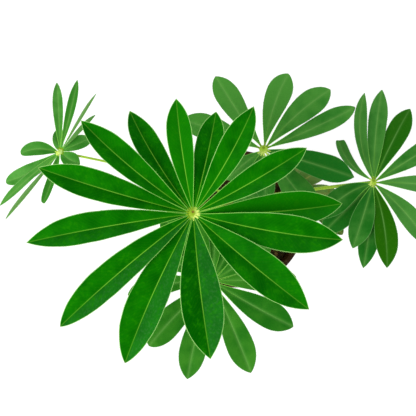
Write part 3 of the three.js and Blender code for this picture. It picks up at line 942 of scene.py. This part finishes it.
def soil_height(x, y):
    """The solid's low swells of sines and its mound at the crown, with two sizes of crumble."""
    swell = (np.sin(x * 0.47 + 1.3) * np.cos(y * 0.41 - 0.6)
             + 0.7 * np.sin(x * 0.83 - y * 0.71 + 2.1) + 0.5 * np.cos(x * 0.29 + y * 1.07))
    mound = CROWN_MOUND * bell(np.hypot(x - CROWN_X, y - CROWN_Y), MOUND_RADIUS)
    crumble = 0.9 * crumbled(x, y, 2.6, 3) + 0.45 * crumbled(x, y, 1.1, 4)
    return SOIL_LEVEL + SOIL_LUMP * swell / 2 + mound + crumble


def pebbles(count, widths, flatness, seed, reach):
    """Irregular crumbs: one small ball of 42 points, stretched, roughened and turned at random
    for each, and sunk by a third into the soil under it."""
    ball = bmesh.new()
    bmesh.ops.create_icosphere(ball, subdivisions=2, radius=0.5)
    shape = np.array([v.co for v in ball.verts])
    faces = np.array([[v.index for v in face.verts] for face in ball.faces])
    ball.free()
    chance = np.random.default_rng(seed)
    radius, angle = reach * np.sqrt(chance.random(count)), TURN * chance.random(count)
    x, y = radius * np.cos(angle), radius * np.sin(angle)
    size = widths[0] + (widths[1] - widths[0]) * chance.random(count) ** 2.2
    stretch = np.stack([chance.uniform(0.8, 1.3, count), chance.uniform(0.6, 1.0, count),
                        chance.uniform(0.7, 1.0, count) * flatness], -1)
    rough = 1 + 0.2 * chance.uniform(-1, 1, (count, len(shape), 1))
    points = shape * rough * (stretch * size[:, None])[:, None]
    turn, tip = TURN * chance.random(count)[:, None], chance.uniform(-0.5, 0.5, count)[:, None]
    px, py, pz = np.moveaxis(points, -1, 0)
    px, pz = swung(px, pz, tip)
    px, py = swung(px, py, turn)
    lift = soil_height(x, y) + 0.16 * size * flatness
    points = np.stack([px + x[:, None], py + y[:, None], pz + lift[:, None]], -1)
    every = faces[None] + (np.arange(count) * len(shape))[:, None, None]
    return points.reshape(-1, 3), every.reshape(-1, 3)


def scatter(name, finish, **chances):
    """One piece of pebbles, which stands for the soil together with the soil itself."""
    loose = Patchwork()
    points, faces = pebbles(**chances)
    loose.add(points, [faces])
    loose.piece(name, finish, "soil", "soil")


class BuildLupinSoil(bpy.types.Operator):
    """Builds the crumbly soil, its loose crumbs and the bark chips on it"""

    bl_idname = "lupin.build_soil"
    bl_label = "Soil"

    def execute(self, context):
        settings = context.scene.lupin_soil
        inset, shoulder, bottom = WALL + CLEARANCE, SOIL_LEVEL - 8, FLOOR_DEPTH + CLEARANCE
        rim = pot_radius(SOIL_LEVEL - 2) - inset
        angle = around(300)
        top = circles(np.linspace(0.4, rim, 120)[:, None], 0, angle)
        top[..., 2] = soil_height(top[..., 0], top[..., 1])
        radii = [pot_radius(shoulder) - inset, pot_radius(bottom) - inset, 20.0]
        side = circles(np.array(radii)[:, None], np.array([shoulder, bottom, bottom])[:, None], angle)
        soil = Patchwork()
        soil.skin(np.concatenate([top, side]))
        dark, clod = with_alpha(settings.peat), with_alpha(settings.clod)
        soil.piece("potting_soil", soil_finish("damp_peat", dark, clod, moist=0.5), "soil", "soil")

        largest = settings.crumb_size / MM
        scatter("soil_crumbs", soil_finish("peat_crumbs", dark, clod, moist=0.25),
                count=settings.crumbs, widths=(0.9, largest), flatness=0.85, seed=11, reach=rim - 2)
        bark = soil_finish("bark", dark=srgb(96, 66, 34), crumb=srgb(134, 120, 66), moist=0.0)
        scatter("bark_chips", bark,
                count=settings.chips, widths=(1.4, 1.5 * largest), flatness=0.4, seed=12, reach=rim - 3)
        return {"FINISHED"}


# ---- crown --------------------------------------------------------------------------------------

SCAR_HEIGHTS = (99, 101.5, 104.5, 107, 110, 113.5, 117)
BUD_LEAVES, GOLDEN_ANGLE = 11, 2.39996


def upright_blade(work, root, tip, outward, width, fold, bow, tone):
    """A small folded blade from root to tip, bowed outwards by a parabola, its under face out.
    Its marks put it 6 to 18 mm along a leaflet, past the yellow foot."""
    u = np.linspace(0, 1 - 1e-4, 22)
    line = root + (tip - root) * u[:, None] + outward * (bow * 4 * u * (1 - u))[:, None]
    along = unit(np.gradient(line, axis=0))
    normal = unit(-outward + (along @ outward)[:, None] * along)
    side = np.cross(normal, along)
    half = width / 2 * (u + 0.12) ** 0.5 * (1 - u) ** 0.7 / 0.72 + 0.05 * (1 - u)
    rings, x, under = folded_blade(line, side, normal, half, math.radians(fold), 0.3, 0 * u,
                                   0.15 * (1 - u))
    work.skin(rings, blade=(u[:, None] * 12 + 6, x, half[:, None] - np.abs(x)),
              state=(u[:, None], tone, under))


def add_stem(work):
    """The stem: a tube with seven faint ridges that narrows by an S to its neck and again to its
    foot in the soil, and swells by a bell 0.7 wide at each ring-shaped leaf scar."""
    height = np.linspace(CROWN_FOOT, CROWN_TOP, 90)
    taper = soft_step(SOIL_LEVEL + 8, CROWN_TOP, height)
    radius = CROWN_RADIUS + (CROWN_NECK - 0.4 - CROWN_RADIUS) * taper
    radius = radius - 1.5 * (1 - soft_step(CROWN_FOOT, CROWN_FOOT + 8, height))
    scars = sum(bell(height - at, 0.7) for at in SCAR_HEIGHTS)
    rings = swept(CROWN_AXIS + UP * height[:, None], np.array([1.0, 0, 0]),
                  radius + 0.22 * scars - 0.2, sides=40,
                  shape=lambda angle: 1 + 0.03 * np.cos(7 * angle))
    work.skin(rings, state=(taper[:, None], height[:, None] - SOIL_LEVEL, 0))


def add_bud(work):
    """The bunch of unopened leaves: folded blades round the stem's top, each a golden angle on
    from the last. Blade k starts 0.8 and ends 0.35 of 0.5 + 0.22 k from the axis, and ends
    0.62 k lower than the first."""
    for k in range(BUD_LEAVES):
        outward = np.array([*swung(1.0, 0.0, k * GOLDEN_ANGLE), 0.0])
        out = outward * (0.5 + 0.22 * k)
        root = CROWN_AXIS + out * 0.8 + UP * (CROWN_TOP - 3)
        tip = CROWN_AXIS + out * 0.35 + UP * (CROWN_TOP + BUD_HEIGHT - 0.5 - 0.62 * k)
        upright_blade(work, root, tip, outward, width=3.4, fold=62, bow=0.9, tone=0.3)


def add_stipules(work, leaf):
    """Two narrow blades beside a stalk's foot, one on each hand, that run along it and part."""
    away = unit((np.array(leaf["hub"]) - CROWN_AXIS) * (1, 1, 0))
    path = stalk_path(leaf, np.linspace(0, 0.2, 30))
    along = unit(path[8] - path[2])
    across = np.cross(UP, away)
    for hand in (-1, 1):
        root = path[3] + across * hand * 2.0 - along * 1.5
        outward = unit(across * hand + away * 0.2)
        tip = root + along * 11 + outward * 2.6
        upright_blade(work, root, tip, outward, width=2.6, fold=30, bow=0.8, tone=0.0)


class BuildLupinCrown(bpy.types.Operator):
    """Builds the short stem, the bunch of unopened leaves on it and the stalks' stipules"""

    bl_idname = "lupin.build_crown"
    bl_label = "Crown"

    def execute(self, context):
        settings = context.scene.lupin_leaves
        stem, bud = Patchwork(), Patchwork()
        add_stem(stem)
        pale = srgb(160, 184, 84)
        finish = stalk_finish("young_stem", pale, green=srgb(128, 156, 62), blush=srgb(150, 98, 62),
                              heart=pale, knob=pale)
        stem.piece("crown_stem", finish, "young_stem", "crown")
        add_bud(bud)
        for leaf in LEAVES.values():
            add_stipules(bud, leaf)
        rib, margin = with_alpha(settings.rib), with_alpha(settings.margin)
        finish = blade_finish("young_leaf", deep=srgb(92, 148, 60), bright=srgb(140, 184, 84),
                              rib=rib, margin=margin, under=srgb(150, 184, 118))
        bud.piece("leaf_bud_and_stipules", finish, "young_stem", "crown")
        return {"FINISHED"}


# ---- leaves -------------------------------------------------------------------------------------

# The far leaves' blades: finish, slot and the colours of deep and bright patches, midrib, margin,
# under face and, on the old leaf, spots.
SOFT_RIB = srgb(130, 191, 96)
SOFT_LINES = SOFT_RIB, srgb(116, 176, 96), srgb(118, 161, 104)
FAR_BLADES = {
    "leaf_upper": ("upper_green_blade", "leaf_soft", srgb(33, 125, 33), srgb(81, 158, 59), *SOFT_LINES),
    "leaf_right": ("right_green_blade", "leaf_soft", srgb(30, 116, 27), srgb(78, 151, 60), *SOFT_LINES),
    "leaf_lower": ("lower_green_blade", "leaf_soft", srgb(34, 118, 22), srgb(69, 148, 40), *SOFT_LINES),
    "leaf_left": ("pale_green_blade", "leaf_pale", srgb(56, 140, 38), srgb(94, 172, 72),
                  SOFT_RIB, srgb(134, 192, 106), srgb(160, 206, 132)),
    "leaf_old": ("olive_blade", "leaf_olive", srgb(78, 118, 44), srgb(118, 154, 82),
                 srgb(176, 178, 96), srgb(170, 176, 120), srgb(140, 150, 96), srgb(122, 122, 44)),
}


class BuildLupinLeaves(bpy.types.Operator):
    """Builds the six palmate leaves, each as its leaflets and its stalk with the hub"""

    bl_idname = "lupin.build_leaves"
    bl_label = "Leaves"

    def execute(self, context):
        settings = context.scene.lupin_leaves
        near = {part: with_alpha(getattr(settings, part)) for part in ("deep", "bright", "rib", "margin")}
        near = blade_finish("near_green_blade", **near, under=srgb(104, 160, 84), gloss=0.012, blur=0.0)
        looks = {"leaf_main": (near, "leaf_bright")}
        for name, (finish, slot, *colours) in FAR_BLADES.items():
            looks[name] = blade_finish(finish, *colours), slot
        stalk = with_alpha(settings.stalk), srgb(140, 182, 50), srgb(168, 120, 62)
        near_stalk = stalk_finish("near_leaf_stalk", *stalk,
                                  heart=srgb(136, 98, 20), knob=srgb(154, 194, 26))
        soft_stalk = stalk_finish("leaf_stalk", *stalk,
                                  heart=srgb(140, 178, 0), knob=srgb(184, 226, 58), spread=0.4)
        pale_stalk = stalk_finish("pale_leaf_stalk", *stalk,
                                  heart=srgb(190, 224, 92), knob=srgb(206, 238, 136))
        stalks = {"leaf_main": near_stalk, "leaf_left": pale_stalk}
        for name, leaf in LEAVES.items():
            finish, slot = looks[name]
            blades, stem = Patchwork(), Patchwork()
            for number, leaflet in enumerate(leaf["leaflets"]):
                add_leaflet(blades, leaf, leaflet, number)
            blades.piece(name + "_blades", finish, slot, name)
            for add_part in (add_stalk, add_hub, add_pulvini):
                add_part(stem, leaf)
            stem.piece(name + "_stalk", stalks.get(name, soft_stalk), "young_stem", name)
        return {"FINISHED"}


# ---- stage --------------------------------------------------------------------------------------

# The stage is in metres. Each soft light: place, width, share of the key light's power, colour.
CAMERA_PLACE, CAMERA_TILT, CAMERA_LENS = (-0.024, -0.079, 0.603), 10.0, 50.0
LOOK_AT = (-0.01, 0.0, 0.2)
SOFT_LIGHTS = {
    "key_softbox": ((-0.95, -0.75, 1.05), 0.9, 1.0, (1, 0.985, 0.95)),
    "side_softbox": ((0.9, 0.7, 0.9), 0.9, 0.3, (0.94, 0.98, 1)),
}


def soft_light(name, place, width, power, colour):
    """A square area light of that width at a place, turned to the plant."""
    lamp = bpy.data.lights.new(name, "AREA")
    lamp.shape, lamp.size, lamp.energy, lamp.color = "SQUARE", width, power, colour
    thing = bpy.data.objects.new(name, lamp)
    thing.location = place
    thing.rotation_euler = (Vector(LOOK_AT) - Vector(place)).to_track_quat("-Z", "Y").to_euler()
    bpy.context.scene.collection.objects.link(thing)


class BuildLupinStage(bpy.types.Operator):
    """Builds the pale floor, the soft studio light and the camera above the plant"""

    bl_idname = "lupin.build_stage"
    bl_label = "Stage"

    def execute(self, context):
        scene, settings = context.scene, context.scene.lupin_stage
        half = settings.floor_width / 2
        mesh = bpy.data.meshes.new("floor")
        corners = [(-half, -half, 0), (half, -half, 0), (half, half, 0), (-half, half, 0)]
        mesh.from_pydata(corners, [], [(0, 1, 2, 3)])
        paper = Finish("white_paper", roughness=0.95, specular_ior_level=0.0,
                       emission_strength=0.7, emission_color=(1, 1, 1, 1))
        fibre = paper.blend(paper.noise(300, 3.0, 0.5), srgb(190, 190, 190), srgb(196, 196, 196))
        mesh.materials.append(paper.give(base_color=fibre))
        floor = bpy.data.objects.new("floor", mesh)
        scene.collection.objects.link(floor)

        for name, (place, width, share, colour) in SOFT_LIGHTS.items():
            soft_light(name, place, width, settings.key_power * share, colour)
        world = bpy.data.worlds.new("studio")
        world.use_nodes = True
        sky = world.node_tree.nodes["Background"].inputs
        sky["Color"].default_value = (1, 1, 1, 1)
        sky["Strength"].default_value = settings.fill
        scene.world = world
        scene.view_settings.view_transform = "Standard"

        view = bpy.data.cameras.new("camera")
        view.lens, view.sensor_width, view.clip_start = CAMERA_LENS, 36.0, 0.01
        camera = bpy.data.objects.new("camera", view)
        camera.location = CAMERA_PLACE
        camera.rotation_euler = (math.radians(CAMERA_TILT), 0, 0)
        scene.collection.objects.link(camera)
        scene.camera = camera
        return {"FINISHED"}


# ---- the add-on ---------------------------------------------------------------------------------

OPERATORS = (BuildLupinPot, BuildLupinSoil, BuildLupinCrown, BuildLupinLeaves, BuildLupinStage)
SETTINGS = {"lupin_pot": LupinPotSettings, "lupin_soil": LupinSoilSettings,
            "lupin_leaves": LupinLeafSettings, "lupin_stage": LupinStageSettings}


class LupinPanel(bpy.types.Panel):
    """Lists the settings and the steps that build the plant"""

    bl_idname = "VIEW3D_PT_lupin"
    bl_label = "Potted lupin"
    bl_space_type = "VIEW_3D"
    bl_region_type = "UI"
    bl_category = "Lupin"

    def draw(self, context):
        for name, group in SETTINGS.items():
            box = self.layout.box()
            for setting in group.__annotations__:
                box.prop(getattr(context.scene, name), setting)
        for operator in OPERATORS:
            self.layout.operator(operator.bl_idname)


def register():
    for group in (*SETTINGS.values(), *OPERATORS, LupinPanel):
        bpy.utils.register_class(group)
    for name, group in SETTINGS.items():
        setattr(bpy.types.Scene, name, PointerProperty(type=group))


def unregister():
    for name in SETTINGS:
        delattr(bpy.types.Scene, name)
    for group in reversed((*SETTINGS.values(), *OPERATORS, LupinPanel)):
        bpy.utils.unregister_class(group)


def main():
    register()
    bpy.ops.lupin.build_pot()
    bpy.ops.lupin.build_soil()
    bpy.ops.lupin.build_crown()
    bpy.ops.lupin.build_leaves()
    bpy.ops.lupin.build_stage()


if __name__ == "__main__":
    main()
